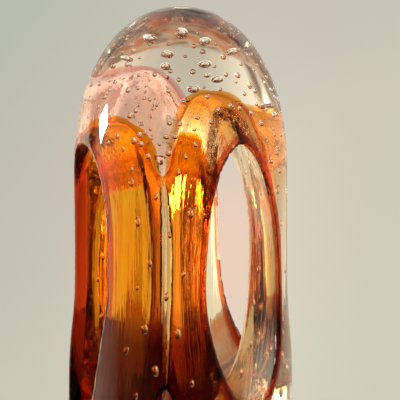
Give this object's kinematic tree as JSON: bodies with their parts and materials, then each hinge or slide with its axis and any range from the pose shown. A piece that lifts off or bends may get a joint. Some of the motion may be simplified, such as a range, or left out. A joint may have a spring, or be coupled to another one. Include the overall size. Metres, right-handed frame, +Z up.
{
  "type": "glass sculpture",
  "caption": "Upright bullet-shaped glass sculpture, clear with caught air bubbles, pierced by tall almond windows that meet inside and are lined with amber and rose glass.",
  "frame": {"origin": "centre of the ground flat foot, on the surface it stands on", "axes": "+Z up through the crown; -Y is the side the picture is taken from; +X is to the right in it"},
  "size_m": [0.121, 0.121, 0.28],
  "materials": {
    "clear_glass": "fire-polished, clear with a faint warm tint",
    "bubbled_glass": "fire-polished, clear, with air bubbles on its surface",
    "amber_glass": "transparent deep amber, glossy",
    "rose_glass": "transparent pale rose, glossy"
  },
  "bodies": {
    "root": {"clear_casing_gather": "clear_glass", "clear_bubble_gather": "bubbled_glass", "amber_skin_front_right": "amber_glass", "amber_skin_front_left": "amber_glass", "rose_skin_back_left": "rose_glass", "amber_skin_back_right": "amber_glass"}
  },
  "joints": []
}
